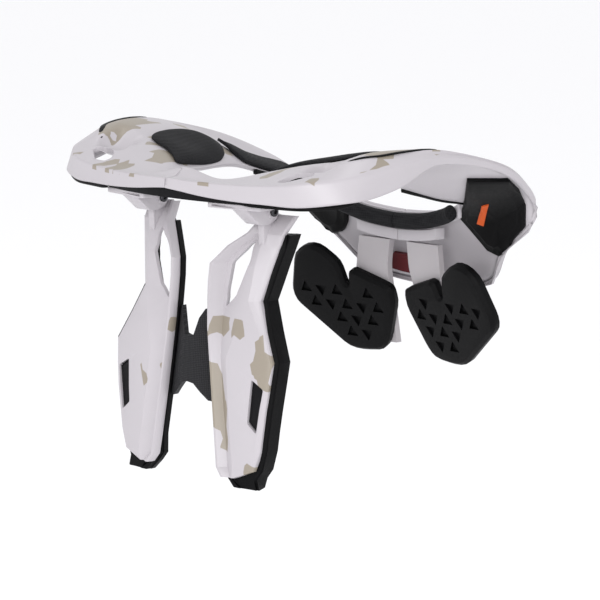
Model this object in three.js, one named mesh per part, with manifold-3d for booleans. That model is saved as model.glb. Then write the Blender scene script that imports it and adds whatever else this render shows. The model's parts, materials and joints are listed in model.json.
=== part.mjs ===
// Motocross neck brace: a rigid collar in two mirrored halves, two hinged back struts joined by a bridge,
// and two chest pads on flexible arms. Millimetres, +X to the wearer's right, +Y to the chest, +Z up.
// The origin is the middle of the neck opening, at the height where the collar sits on the shoulders.
import * as THREE from "three";
import { mergeVertices } from "three/addons/utils/BufferGeometryUtils.js";
import Module from "manifold-3d";

const wasm = await Module();
wasm.setup();

// Collar
const HALF_WIDTH = 140; // centre plane to the outermost rim
const HALF_LENGTH = 136; // origin to the rear tip, and to the front edge
const COLLAR_HEIGHT = 120; // lowest edge of the front apron to the highest crest
const SHELL_WALL = 3;
const GAP = 0.35; // clearance that neighbouring pieces keep
const CURVE_GAP = 0.8; // the same between curved walls, whose facets differ
const CUT_REACH = 60; // how far a cutting body stands past the pieces it cuts
const SEAM_WAVE = 10; // how far the right half laps over the centre plane at the rear

// Air hole through each rear wing
const HOLE_LENGTH = 24;
const HOLE_WIDTH = 22;
const HOLE_CORNER = 2;

// Soft linings of the collar
const NECK_PAD_THICK = 7;
const SIDE_PAD_THICK = 5;
const WING_PANEL_THICK = 6;
const PANEL_GAP = 0.95; // curved wall to the lining under it
const PIPING_RADIUS = 2.2;
const BOLSTER_HEIGHT = 12;
const BOLSTER_DEPTH = 9;

// Front collar wall, arm mounts and latch
const COLLAR_BAND_HEIGHT = 10;
const COLLAR_BAND_WALL = 3;
const MOUNT_HEIGHT = 8;
const MOUNT_SLOPE = 1.4; // how much lower the mount's inner end is than its middle
const MOUNT_DEPTH = 8;
const LATCH_THICK = 2.5;

// Chassis under the rear wings
const CARRIER_BOTTOM = -6; // height of the chassis' flat underside
const SLIDER_THICK = 3.5;
const SLIDER_LENGTH = 42;
const SLIDER_DEPTH = 25;
const SLIDER_SETBACK = 32; // hinge axis to the plate's rear edge
const GROOVE = 1.2;
const HINGE_FORWARD = 43.7; // rear tip of the collar to the hinge axis
const HINGE_DROP = 3.65; // slider plate's underside to the hinge axis

// Strut hinges
const PIVOT_SPACING = 102.6; // left hinge to right hinge
const BRACKET_WIDTH = 13;
const BOSS_RADIUS = 4.7;
const BOSS_RISE = 1;
const BRACKET_LENGTH = 31;
const BRACKET_HEIGHT = 12;
const TONGUE_WIDTH = 5;
const TONGUE_RADIUS = 4;
const SCREW_RADIUS = 1.8;
const SCREW_HEAD_RADIUS = 3.2;
const SCREW_HEAD_THICK = 1.6;
const SCREW_SIDES = 10; // sides of a screw's faceted round
const BOSS_SIDES = 16;

// Back struts
const STRUT_FALL = 177; // hinge to the tip of the cover, measured upright
const STRUT_SETBACK = 22.7; // how far the tip stands behind the hinge
const STRUT_INNER_REACH = 36; // hinge to the inner rail
const STRUT_OUTER_REACH = 21; // hinge to the widest outer edge
const COVER_WALL = 3;
const COVER_EDGE = 3; // how far the cover's edges wrap towards the foam
const RIDGE_RISE = 3;
const FOAM_THICK = 10;
const FOAM_INNER_THICK = 4; // the foam thins towards the other strut
const FOAM_MARGIN = 1.2; // how far the foam stands past the cover's sides
const FOAM_FOOT = 11; // how far its foot stands past the cover's narrow end
const FOAM_TIP = 7; // how far it stands below the cover's tip
const FOAM_TIP_SHARE = 0.4; // width of its tip as a share of its foot's
const BRIDGE_THICK = 4;
const BRIDGE_ARCH = 7; // how far the bridge bows to the rear, away from the spine

// Chest pads and their arms
const PAD_WIDTH = 96;
const PAD_HEIGHT = 78;
const PAD_THICK = 7;
const PAD_BEVEL = 2.5;
const PAD_CORNER = 6;
const PAD_OUT = 47.7; // centre plane to the pad's middle
const PAD_FORWARD = 99.3; // origin to the pad's middle
const PAD_DROP = 97.8; // origin down to the pad's middle
const PAD_TOP_RISE = 31.3; // pad's middle to its highest edge
const ARM_WIDTH = 29;
const ARM_THICK = 5;
const ARM_SPLAY = 9; // how far the arm's foot stands further out than its top
const ARM_FALL = 78;
const ARM_INNER = 8; // centre plane to the arm's inner edge

// Steps of the curved walls and of each rounded corner
const STATION_STEPS = 2;
const COLUMN_STEPS = 2;
const PATCH_STEPS = 6;
const CORNER_STEPS = 2;

const materials = {
  shell: new THREE.MeshStandardMaterial({ color: 0xdcd6da, roughness: 0.42, metalness: 0 }),
  foam: new THREE.MeshStandardMaterial({ color: 0x1a1a1b, roughness: 0.85, metalness: 0 }),
  chassis: new THREE.MeshStandardMaterial({ color: 0x1d1c1d, roughness: 0.55, metalness: 0 }),
  cushion: new THREE.MeshStandardMaterial({ color: 0x3a3a3c, roughness: 0.9, metalness: 0 }),
  weave: new THREE.MeshStandardMaterial({ color: 0x37373a, roughness: 0.5, metalness: 0 }),
  arm: new THREE.MeshStandardMaterial({ color: 0xcfc9cd, roughness: 0.5, metalness: 0 }),
  latch: new THREE.MeshStandardMaterial({ color: 0x6e1c1c, roughness: 0.5, metalness: 0 }),
  screw: new THREE.MeshStandardMaterial({ color: 0x8a8a8c, roughness: 0.3, metalness: 1 }),
};

// Closed meshes and booleans

const point = (x, y, z) => new THREE.Vector3(x, y, z);
const mirrored = (p) => point(-p.x, p.y, p.z);

function signedVolume(positions, index) {
  const [a, b, c] = [point(0, 0, 0), point(0, 0, 0), point(0, 0, 0)];
  let sum = 0;
  for (let i = 0; i < index.length; i += 3) {
    a.fromArray(positions, 3 * index[i]);
    b.fromArray(positions, 3 * index[i + 1]);
    c.fromArray(positions, 3 * index[i + 2]);
    sum += a.dot(b.cross(c));
  }
  return sum / 6;
}

// A closed geometry from points and triangles, turned so that its faces point outwards.
function closed(points, index) {
  const positions = points.flatMap((p) => [p.x, p.y, p.z]);
  const faces = signedVolume(positions, index) < 0 ? [...index].reverse() : index;
  const geometry = new THREE.BufferGeometry();
  geometry.setAttribute("position", new THREE.Float32BufferAttribute(positions, 3));
  geometry.setIndex(faces);
  return geometry;
}

// The solid between two grids of points that have the same rows and columns.
function between(top, bottom) {
  const rows = top.length;
  const columns = top[0].length;
  const index = [];
  const at = (side, i, j) => (side * rows + i) * columns + j;
  const quad = (a, b, c, d) => index.push(a, b, c, a, c, d);
  for (let i = 0; i < rows - 1; i++) {
    for (let j = 0; j < columns - 1; j++) {
      quad(at(0, i, j), at(0, i, j + 1), at(0, i + 1, j + 1), at(0, i + 1, j));
      quad(at(1, i, j), at(1, i + 1, j), at(1, i + 1, j + 1), at(1, i, j + 1));
    }
    quad(at(0, i, 0), at(0, i + 1, 0), at(1, i + 1, 0), at(1, i, 0));
    const last = columns - 1;
    quad(at(0, i, last), at(1, i, last), at(1, i + 1, last), at(0, i + 1, last));
  }
  for (let j = 0; j < columns - 1; j++) {
    quad(at(0, 0, j), at(1, 0, j), at(1, 0, j + 1), at(0, 0, j + 1));
    const last = rows - 1;
    quad(at(0, last, j), at(0, last, j + 1), at(1, last, j + 1), at(1, last, j));
  }
  return closed([...top.flat(), ...bottom.flat()], index);
}

function solid(geometry) {
  const bare = geometry.clone();
  bare.deleteAttribute("normal");
  bare.deleteAttribute("uv");
  const merged = mergeVertices(bare, 1e-4);
  return new wasm.Manifold(
    new wasm.Mesh({
      numProp: 3,
      vertProperties: new Float32Array(merged.attributes.position.array),
      triVerts: new Uint32Array(merged.index.array),
    }),
  );
}

function geometryOf(body) {
  const mesh = body.getMesh();
  const geometry = new THREE.BufferGeometry();
  geometry.setAttribute("position", new THREE.BufferAttribute(mesh.vertProperties, 3));
  geometry.setIndex(new THREE.BufferAttribute(mesh.triVerts, 1));
  return geometry;
}

const cut = (geometry, ...tools) =>
  geometryOf(tools.reduce((body, tool) => body.subtract(solid(tool)), solid(geometry)));
const join = (...pieces) => geometryOf(pieces.map(solid).reduce((body, next) => body.add(next)));

function mirrorGeometry(geometry) {
  const position = geometry.getAttribute("position");
  const points = [];
  for (let i = 0; i < position.count; i++) {
    points.push(mirrored(point(0, 0, 0).fromBufferAttribute(position, i)));
  }
  return closed(points, Array.from(geometry.index.array));
}

// An outline whose corners are rounded, from pairs of numbers.
function roundedShape(corners, radius) {
  const shape = new THREE.Shape();
  corners.forEach(([x, y], i) => {
    const here = new THREE.Vector2(x, y);
    const before = new THREE.Vector2(...corners[(i + corners.length - 1) % corners.length]);
    const after = new THREE.Vector2(...corners[(i + 1) % corners.length]);
    const reach = Math.min(radius, here.distanceTo(before) / 2.1, here.distanceTo(after) / 2.1);
    const start = here.clone().add(before.sub(here).setLength(reach));
    const end = here.clone().add(after.sub(here).setLength(reach));
    if (i === 0) shape.moveTo(start.x, start.y);
    else shape.lineTo(start.x, start.y);
    shape.quadraticCurveTo(x, y, end.x, end.y);
  });
  shape.closePath();
  return shape;
}

// A prism whose outline is given in Y and Z, from one X to another.
function prismAlongX(shape, from, to, options = {}) {
  const geometry = new THREE.ExtrudeGeometry(shape, {
    depth: to - from,
    bevelEnabled: false,
    curveSegments: CORNER_STEPS,
    ...options,
  });
  geometry.applyMatrix4(new THREE.Matrix4().set(0, 0, 1, from, 1, 0, 0, 0, 0, 1, 0, 0, 0, 0, 0, 1));
  return mergeVertices(bareOf(geometry), 1e-4);
}

// A prism whose outline is given in X and Z, from one Y to another.
function prismAlongY(shape, from, to) {
  const geometry = new THREE.ExtrudeGeometry(shape, {
    depth: to - from,
    bevelEnabled: false,
    curveSegments: CORNER_STEPS,
  });
  geometry.applyMatrix4(new THREE.Matrix4().set(1, 0, 0, 0, 0, 0, -1, to, 0, 1, 0, 0, 0, 0, 0, 1));
  return mergeVertices(bareOf(geometry), 1e-4);
}

// A prism whose outline is given in X and Y, from one height to another.
function prismAlongZ(shape, from, to) {
  const geometry = new THREE.ExtrudeGeometry(shape, {
    depth: to - from,
    bevelEnabled: false,
    curveSegments: CORNER_STEPS,
  });
  geometry.translate(0, 0, from);
  return mergeVertices(bareOf(geometry), 1e-4);
}

function bareOf(geometry) {
  geometry.deleteAttribute("normal");
  geometry.deleteAttribute("uv");
  return geometry;
}

function cylinderAlongX(radius, from, to, y, z, sides) {
  const geometry = new THREE.CylinderGeometry(radius, radius, to - from, sides);
  geometry.rotateZ(Math.PI / 2);
  geometry.translate((from + to) / 2, y, z);
  return mergeVertices(bareOf(geometry), 1e-4);
}

// A smooth value through a list of points, where t counts the points from 0.
function through(points, t) {
  const i = Math.min(Math.floor(t), points.length - 2);
  const f = t - i;
  const p1 = points[i];
  const p2 = points[i + 1];
  const p0 = points[i - 1] ?? p1.clone().multiplyScalar(2).sub(p2);
  const p3 = points[i + 2] ?? p2.clone().multiplyScalar(2).sub(p1);
  const mix = (a, b, c, d) =>
    0.5 *
    (2 * b +
      (c - a) * f +
      (2 * a - 5 * b + 4 * c - d) * f * f +
      (3 * b - a - 3 * c + d) * f * f * f);
  return point(
    mix(p0.x, p1.x, p2.x, p3.x),
    mix(p0.y, p1.y, p2.y, p3.y),
    mix(p0.z, p1.z, p2.z, p3.z),
  );
}

const steps = (from, to, count) =>
  Array.from({ length: count + 1 }, (_, i) => from + ((to - from) * i) / count);

// Collar surface. Each row is one section across the right half, from the rear seam to the front seam.
// Columns run from the neck opening over the crest to the foot of the rim, each as X, Y and Z shares of
// HALF_WIDTH, HALF_LENGTH and COLLAR_HEIGHT.
const SECTIONS = [
  // neck edge,         inner slope,          crest,                outer slope,          rim top,              rim foot
  [[0, -0.75, 0.03], [0, -0.79, 0.085], [0, -0.83, 0.112], [0, -0.915, 0.07], [0, -0.985, 0.063], [0, -0.99, 0.01]],
  [[0.16, -0.72, 0.005], [0.17, -0.77, 0.04], [0.185, -0.83, 0.058], [0.195, -0.9, 0.055], [0.2, -0.972, 0.062], [0.2, -0.975, -0.015]],
  [[0.25, -0.57, 0.03], [0.3, -0.65, 0.08], [0.34, -0.75, 0.08], [0.38, -0.85, 0.06], [0.41, -0.942, 0.063], [0.41, -0.945, -0.03]],
  [[0.33, -0.42, 0.02], [0.42, -0.515, 0.115], [0.49, -0.66, 0.126], [0.55, -0.78, 0.09], [0.6, -0.895, 0.072], [0.6, -0.895, -0.035]],
  [[0.385, -0.29, 0.01], [0.53, -0.455, 0.135], [0.65, -0.62, 0.165], [0.705, -0.74, 0.125], [0.745, -0.855, 0.092], [0.745, -0.85, -0.04]],
  [[0.425, -0.17, 0.005], [0.625, -0.38, 0.158], [0.78, -0.6, 0.195], [0.855, -0.66, 0.165], [0.9, -0.72, 0.12], [0.94, -0.735, -0.005]],
  [[0.46, -0.06, -0.005], [0.665, -0.24, 0.172], [0.855, -0.46, 0.237], [0.92, -0.52, 0.2], [0.957, -0.575, 0.145], [0.965, -0.585, 0.005]],
  [[0.485, 0.04, -0.02], [0.69, -0.08, 0.165], [0.92, -0.28, 0.24], [0.965, -0.34, 0.215], [0.985, -0.385, 0.18], [0.985, -0.36, 0.06]],
  [[0.505, 0.14, -0.045], [0.7, 0.1, 0.09], [0.957, -0.1, 0.225], [0.985, -0.13, 0.21], [1, -0.15, 0.19], [0.985, -0.16, 0.15]],
  [[0.515, 0.29, -0.095], [0.74, 0.26, 0.01], [0.942, 0.173, 0.15], [0.965, 0.175, 0.148], [0.978, 0.178, 0.14], [0.972, 0.19, 0.1]],
  [[0.51, 0.47, -0.15], [0.75, 0.465, -0.06], [0.924, 0.438, 0.068], [0.945, 0.442, 0.062], [0.955, 0.448, 0.05], [0.945, 0.455, 0.015]],
  [[0.5, 0.665, -0.19], [0.69, 0.67, -0.12], [0.86, 0.64, -0.037], [0.878, 0.648, -0.045], [0.883, 0.658, -0.058], [0.872, 0.672, -0.095]],
  [[0.42, 0.735, -0.235], [0.63, 0.785, -0.24], [0.8, 0.785, -0.146], [0.816, 0.795, -0.155], [0.822, 0.81, -0.17], [0.812, 0.822, -0.21]],
  [[0.34, 0.755, -0.265], [0.54, 0.845, -0.36], [0.765, 0.82, -0.3], [0.772, 0.83, -0.32], [0.77, 0.838, -0.34], [0.758, 0.84, -0.375]],
  [[0.27, 0.765, -0.285], [0.42, 0.875, -0.46], [0.555, 0.87, -0.49], [0.556, 0.878, -0.505], [0.55, 0.885, -0.52], [0.54, 0.883, -0.545]],
  [[0.2, 0.775, -0.3], [0.31, 0.915, -0.53], [0.425, 0.962, -0.68], [0.43, 0.974, -0.698], [0.43, 0.982, -0.712], [0.424, 0.977, -0.738]],
  [[0.1, 0.782, -0.31], [0.15, 0.93, -0.55], [0.21, 0.985, -0.735], [0.212, 0.996, -0.75], [0.21, 1, -0.762], [0.208, 0.995, -0.785]],
  [[0, 0.785, -0.315], [0, 0.935, -0.555], [0, 0.99, -0.75], [0, 1, -0.765], [0, 1.004, -0.777], [0, 0.998, -0.8]],
];
const LAST = SECTIONS.length - 1;
const RIM_FOOT = SECTIONS[0].length - 1;
const RIM_TOP = RIM_FOOT - 1;

// The section at a whole station, mirrored past either seam so that the collar is smooth there.
function section(i) {
  const folded = i < 0 ? -i : i > LAST ? 2 * LAST - i : i;
  return SECTIONS[folded].map(([x, y, z]) =>
    point((folded === i ? x : -x) * HALF_WIDTH, y * HALF_LENGTH, z * COLLAR_HEIGHT),
  );
}

// A point of the collar's outer face: u counts sections from the rear, v counts columns from the neck.
function collarPoint(u, v) {
  const first = Math.floor(u) - 1;
  const near = [0, 1, 2, 3].map((k) => section(first + k));
  const column = (j) => through(near.map((row) => row[j]), 1 + u - Math.floor(u));
  if (v > RIM_TOP) return column(RIM_TOP).lerp(column(RIM_FOOT), v - RIM_TOP);
  return through([0, 1, 2, 3, 4].map(column), v);
}

function collarNormal(u, v) {
  const d = 0.02;
  const across = Math.min(v, RIM_FOOT - d);
  const along = collarPoint(u + d, v).sub(collarPoint(u - d, v));
  const over = collarPoint(u, across + d).sub(collarPoint(u, Math.max(across - d, 0)));
  return over.cross(along).normalize();
}

// A point that stands off the collar's outer face, below it where the height is negative.
const offCollar = (u, v, height) =>
  collarPoint(u, v).addScaledVector(collarNormal(u, v), height);

const COLUMNS = [...steps(0, RIM_TOP, RIM_TOP * COLUMN_STEPS), 4.5, 5];

// The wall of one half before the seams are cut, from the sections before the rear seam to the front seam.
function collarWall(from) {
  const stations = steps(from, LAST + 0.5, Math.round((LAST + 0.5 - from) * STATION_STEPS));
  const outer = stations.map((u) => COLUMNS.map((v) => collarPoint(u, v)));
  const inner = stations.map((u) =>
    COLUMNS.map((v) => offCollar(u, v, -SHELL_WALL).lerp(underRim(u, v), v > 3.9 ? 1 : 0)),
  );
  return between(outer, inner);
}

// Inside the rim band the wall's inner face stands straight in from the outer one.
function underRim(u, v) {
  const inward = offCollar(u, 3.7, -SHELL_WALL).sub(collarPoint(u, 4));
  inward.z = 0;
  inward.setLength(SHELL_WALL);
  const drop = v < 4.1 ? SHELL_WALL : 0;
  return collarPoint(u, v).add(inward).add(point(0, 0, -drop));
}

// The rear seam in plan, as shares of SEAM_WAVE and HALF_LENGTH.
const SEAM = [
  [-1.5, -0.6],
  [-1.5, -0.74],
  [-1.3, -0.78],
  [-0.8, -0.82],
  [-0.1, -0.86],
  [0.1, -0.92],
  [-0.1, -1.1],
];

// Everything on the left of the seams, which the right half leaves free, or on their right.
function beyondSeams(side, clearance) {
  const far = 2 * HALF_WIDTH;
  const wave = SEAM.map(([x, y]) => [x * SEAM_WAVE + side * clearance, y * HALF_LENGTH]);
  const outline = [
    ...wave,
    [side * far, wave.at(-1)[1]],
    [side * far, HALF_LENGTH * 1.3],
    [side * clearance, HALF_LENGTH * 1.3],
    [side * clearance, 0],
  ];
  const shape = new THREE.Shape(outline.map(([x, y]) => new THREE.Vector2(x, y)));
  return prismAlongZ(shape, -2 * COLLAR_HEIGHT, COLLAR_HEIGHT);
}

// The air hole goes through the wing and its lining between the crest and the rear rim. Its middle is in
// shares of HALF_WIDTH and HALF_LENGTH, and its corners are in shares of half its length and half its width.
const HOLE_PLACE = [0.65, -0.757];
const HOLE_OUTLINE = [[0.92, 0.18], [0.58, 1], [-0.42, 0.55], [-0.92, -0.18], [-0.92, -0.82], [-0.25, -0.91]];

function airHole(side) {
  const outline = HOLE_OUTLINE.map(([along, across]) => [
    side * (HOLE_PLACE[0] * HALF_WIDTH + (along * HOLE_LENGTH) / 2),
    HOLE_PLACE[1] * HALF_LENGTH + (across * HOLE_WIDTH) / 2,
  ]);
  return prismAlongZ(roundedShape(outline, HOLE_CORNER), -COLLAR_HEIGHT, COLLAR_HEIGHT);
}

function shellRight() {
  return cut(collarWall(-2), beyondSeams(-1, -GAP / 2), airHole(1));
}

function shellLeft() {
  return cut(mirrorGeometry(collarWall(-1)), beyondSeams(1, -GAP / 2), airHole(-1));
}

// A patch on the collar between two heights off its outer face, with a rounded outline and a crown.
function patch({ u, v, low, high, crown = 0, lean = 0, round = 1, count = PATCH_STEPS }) {
  const cell = (a, b) => {
    const shrinkA = Math.sqrt(1 - (round * b * b) / 2);
    const shrinkB = Math.sqrt(1 - (round * a * a) / 2);
    return [
      (u[0] + u[1]) / 2 + ((u[1] - u[0]) / 2) * a * shrinkA,
      (v[0] + v[1]) / 2 + ((v[1] - v[0]) / 2) * b * shrinkB,
      (1 - a ** 4) * (1 - b ** 4) * (1 - lean * b),
    ];
  };
  const grid = (height) =>
    steps(-1, 1, count).map((a) =>
      steps(-1, 1, count).map((b) => {
        const [pu, pv, bulge] = cell(a, b);
        return offCollar(pu, pv, height(bulge));
      }),
    );
  return between(grid((bulge) => high + crown * bulge), grid(() => low));
}

const neckPad = () =>
  patch({ u: [2.2, 7.3], v: [0.04, 1.16], low: GAP, high: 2, crown: NECK_PAD_THICK - 2, lean: 0.5, count: 8 });
const sidePad = () =>
  patch({ u: [7.75, 10.6], v: [0.02, 0.95], low: CURVE_GAP, high: SIDE_PAD_THICK - 2, crown: 2, round: 0.3 });
const wingPanel = () =>
  patch({
    u: [10, 14.1],
    v: [0.65, 1.9],
    low: -SHELL_WALL - WING_PANEL_THICK,
    high: -SHELL_WALL - PANEL_GAP,
    round: 0.45,
  });

// A tube along a curve, with a section that may be taller than it is deep.
function tube(points, depth, height, count, sides = 8) {
  const curve = new THREE.CatmullRomCurve3(points);
  const rings = steps(0, 1, count).map((t) => {
    const centre = curve.getPointAt(t);
    const tangent = curve.getTangentAt(t);
    const side = tangent.clone().cross(point(0, 0, 1)).normalize();
    const up = side.clone().cross(tangent);
    return Array.from({ length: sides }, (_, k) => {
      const angle = (2 * Math.PI * k) / sides;
      return centre
        .clone()
        .addScaledVector(side, depth * Math.cos(angle))
        .addScaledVector(up, height * Math.sin(angle));
    });
  });
  return ringLoft(rings);
}

// A closed body through rings of points, with a flat cap at each end.
function ringLoft(rings) {
  const sides = rings[0].length;
  const index = [];
  rings.slice(1).forEach((_, i) => {
    for (let k = 0; k < sides; k++) {
      const [a, b] = [i * sides + k, i * sides + ((k + 1) % sides)];
      index.push(a, b, b + sides, a, b + sides, a + sides);
    }
  });
  const last = (rings.length - 1) * sides;
  for (let k = 1; k < sides - 1; k++) {
    index.push(0, k + 1, k, last, last + k, last + k + 1);
  }
  return closed(rings.flat(), index);
}

// The piping runs along the neck edge of the side wall, from the side pad to the front.
function piping() {
  const route = steps(8.3, 11, 12).map((u) => {
    const edge = collarPoint(u, 0);
    const inward = edge.clone().sub(collarPoint(u, 0.3)).setLength(PIPING_RADIUS + PANEL_GAP);
    return edge.add(inward).addScaledVector(collarNormal(u, 0), -SHELL_WALL / 2);
  });
  return tube(route, PIPING_RADIUS, PIPING_RADIUS, 12, 6);
}

// The throat line: the route of the front collar band, from the centre to the end of the bolster.
const THROAT_SECTIONS = 5.4;

function throatAt(t, inset) {
  const edge = collarPoint(LAST - t * THROAT_SECTIONS, 0);
  return edge.add(point(-edge.x, -edge.y, 0).setLength(inset));
}

const throatLine = (inset, drop = 0) =>
  steps(0.003, 1, 8).map((t) => throatAt(t, inset).add(point(0, 0, -drop)));

// An upright strip along the throat line, cut square at the centre plane.
function throatStrip(inset, wall, top, height) {
  const grid = (depth) =>
    throatLine(depth).map((p) => [top, top + height].map((drop) => point(Math.max(p.x, GAP / 2), p.y, p.z - drop)));
  return between(grid(inset), grid(inset + wall));
}

const bandInset = SHELL_WALL + GAP;
const collarBand = () => throatStrip(bandInset, COLLAR_BAND_WALL, 1, COLLAR_BAND_HEIGHT);

function bolster() {
  const inset = bandInset + COLLAR_BAND_WALL + GAP + BOLSTER_DEPTH / 2;
  const drop = 1 + BOLSTER_HEIGHT / 2;
  const route = throatLine(inset, drop).map((p, i) => (i === 0 ? point(GAP, p.y, p.z) : p));
  return tube(route, BOLSTER_DEPTH / 2, BOLSTER_HEIGHT / 2, 14, 10);
}

// Chest pads. The outline is in X and Z, as shares of PAD_WIDTH from the centre plane and of PAD_HEIGHT
// below the pad's highest edge.
const PAD_OUTLINE = [
  [0.07, 0.34], [0.115, 0.31], [0.385, 0.195], [0.43, 0.22], [0.455, 0.35], [0.485, 0.345], [0.51, 0.15],
  [0.585, 0.075], [0.67, 0], [0.785, 0.005], [0.895, 0.09], [1.0, 0.46], [0.985, 0.57], [0.7, 0.86],
  [0.58, 0.975], [0.46, 0.99], [0.265, 0.965], [0.2, 0.87], [0.06, 0.48],
];
const PAD_MIDDLE = point(PAD_OUT, PAD_FORWARD, -PAD_DROP);
const PAD_TOP = PAD_TOP_RISE - PAD_DROP;
const PAD_FACING = point(0.112, 0.942, 0.315).normalize();

// The pad's own frame: X and Y run in its plane, Z points away from the chest.
function padFrame() {
  const up = point(0, 0, 1).projectOnPlane(PAD_FACING).normalize();
  const side = up.clone().cross(PAD_FACING).normalize();
  return new THREE.Matrix4().makeBasis(side, up, PAD_FACING).setPosition(PAD_MIDDLE);
}

function chestPad() {
  const back = padFrame().invert();
  const corners = PAD_OUTLINE.map(([x, z]) => {
    const p = point(x * PAD_WIDTH, 0, PAD_TOP - z * PAD_HEIGHT);
    const away = p.clone().sub(PAD_MIDDLE);
    p.y = PAD_MIDDLE.y - (away.x * PAD_FACING.x + away.z * PAD_FACING.z) / PAD_FACING.y;
    p.applyMatrix4(back);
    return [p.x, p.y];
  });
  const rings = [
    [0, 0],
    [0, PAD_THICK - PAD_BEVEL],
    [PAD_BEVEL, PAD_THICK],
  ];
  const outline = roundedShape(corners, PAD_CORNER).getPoints(2);
  return layered(outline, rings, (p, rise) => point(p.x, p.y, -rise).applyMatrix4(padFrame()));
}

// An outline stepped in and raised ring by ring, closed by a flat face at each end.
function layered(points, rings, place) {
  const outline = points.at(-1).distanceTo(points[0]) < 1e-6 ? points.slice(0, -1) : points;
  if (THREE.ShapeUtils.area(outline) < 0) outline.reverse();
  const count = outline.length;
  const inset = (distance) =>
    outline.map((p, i) => {
      const before = p.clone().sub(outline[(i + count - 1) % count]).normalize();
      const after = outline[(i + 1) % count].clone().sub(p).normalize();
      const inward = new THREE.Vector2(-before.y - after.y, before.x + after.x).normalize();
      return p.clone().addScaledVector(inward, distance / Math.max(0.5, inward.dot(new THREE.Vector2(-after.y, after.x))));
    });
  const index = [];
  rings.slice(1).forEach((_, i) => {
    for (let k = 0; k < count; k++) {
      const [a, b] = [i * count + k, i * count + ((k + 1) % count)];
      index.push(a, b, b + count, a, b + count, a + count);
    }
  });
  const last = (rings.length - 1) * count;
  for (const [a, b, c] of THREE.ShapeUtils.triangulateShape(outline, [])) {
    index.push(a, c, b);
    index.push(last + a, last + b, last + c);
  }
  return closed(rings.flatMap(([distance, rise]) => inset(distance).map((p) => place(p, rise))), index);
}

const padPlaneY = (x, z) =>
  PAD_MIDDLE.y - ((x - PAD_MIDDLE.x) * PAD_FACING.x + (z - PAD_MIDDLE.z) * PAD_FACING.z) / PAD_FACING.y;

// The mount sits under the collar band on each side of the centre plane.
const MOUNT_REACH = 0.6; // share of the throat line that it takes

function armMount() {
  const line = (inset) =>
    steps(0.003, MOUNT_REACH, 5).map((t) => throatAt(t, inset)).map((p) => point(Math.max(p.x, GAP / 2), p.y, p.z));
  const top = 1 + BOLSTER_HEIGHT + GAP;
  const grid = (inset) => line(inset).map((p) => [top, top + MOUNT_HEIGHT].map((drop) => point(p.x, p.y, p.z - drop)));
  return between(grid(bandInset - 2), grid(bandInset - 2 + MOUNT_DEPTH));
}

// The arm hangs straight from its mount until it meets the pad's back, and then follows it down.
function padArm() {
  const start = throatAt(0.3, bandInset - 2 + MOUNT_DEPTH / 2);
  const top = start.z - 1 - BOLSTER_HEIGHT - MOUNT_HEIGHT - 2 * GAP - MOUNT_SLOPE;
  const hanging = start.y - ARM_THICK / 2;
  const grid = (depth) =>
    steps(0, 1, 13).map((fall) => {
      const z = top - fall * ARM_FALL;
      return steps(0, 1, 2).map((across) => {
        const x = ARM_INNER + fall * ARM_SPLAY + across * ARM_WIDTH;
        const behindPad = padPlaneY(x, z) + GAP / PAD_FACING.y;
        return point(x, Math.max(hanging, behindPad) + depth, z);
      });
    });
  return between(grid(0), grid(ARM_THICK));
}

// The latch joins the two halves on the inside of the front apron.
const latch = () =>
  patch({
    u: [LAST - 0.3, LAST + 1.2],
    v: [1.2, 1.8],
    low: -SHELL_WALL - PANEL_GAP - LATCH_THICK,
    high: -SHELL_WALL - PANEL_GAP,
    round: 0.3,
    count: 4,
  });

// Chassis: one bar under both rear wings, fitted to the underside of the collar.
function carrier() {
  const stations = steps(-2.7, 2.7, 14);
  const columns = steps(1.25, 3.55, 4);
  const top = stations.map((u) => columns.map((v) => offCollar(u, v, -SHELL_WALL - CURVE_GAP)));
  const bottom = top.map((row) => row.map((p) => point(p.x, p.y, CARRIER_BOTTOM)));
  return between(top, bottom);
}

// The lining under the outer part of each rear wing.
function backPanel() {
  const lining = patch({
    u: [2.85, 6.2],
    v: [1.2, 3.62],
    low: -SHELL_WALL - WING_PANEL_THICK,
    high: -SHELL_WALL - PANEL_GAP,
    round: 0.25,
  });
  return cut(lining, airHole(1));
}

// Hinges. Each hinge axis runs along X through the middle of its bracket.
const HINGE = point(
  PIVOT_SPACING / 2,
  HINGE_FORWARD - HALF_LENGTH,
  CARRIER_BOTTOM - GAP - SLIDER_THICK - HINGE_DROP,
);

// Slider plate: it lies under the chassis and carries the bracket, with a groove along its rear edge.
function sliderPlate() {
  const top = CARRIER_BOTTOM - GAP;
  const [inner, outer] = [HINGE.x - SLIDER_LENGTH * 0.52, HINGE.x + SLIDER_LENGTH * 0.48];
  const rear = HINGE.y - SLIDER_SETBACK;
  const front = rear + SLIDER_DEPTH;
  const plate = prismAlongZ(
    roundedShape([[inner, rear - 1], [outer, rear + 6], [outer, front], [inner, front]], 3),
    top - SLIDER_THICK,
    top,
  );
  const middle = top - SLIDER_THICK / 2;
  const groove = prismAlongX(
    roundedShape(
      [[rear - 9, middle - GROOVE / 2], [rear + 3, middle - GROOVE / 2], [rear + 3, middle + GROOVE / 2], [rear - 9, middle + GROOVE / 2]],
      0,
    ),
    inner + 4,
    outer + 9,
  );
  return cut(plate, groove);
}

// Bracket: a clevis whose two cheeks hold the strut's tongue. Its side view below the slider plate is in Y
// and Z from the hinge, as shares of BRACKET_LENGTH and BRACKET_HEIGHT.
const BRACKET_SIDE = [[0.2, -0.14], [0.15, -0.42], [-0.1, -0.7], [-0.35, -0.68]];

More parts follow.
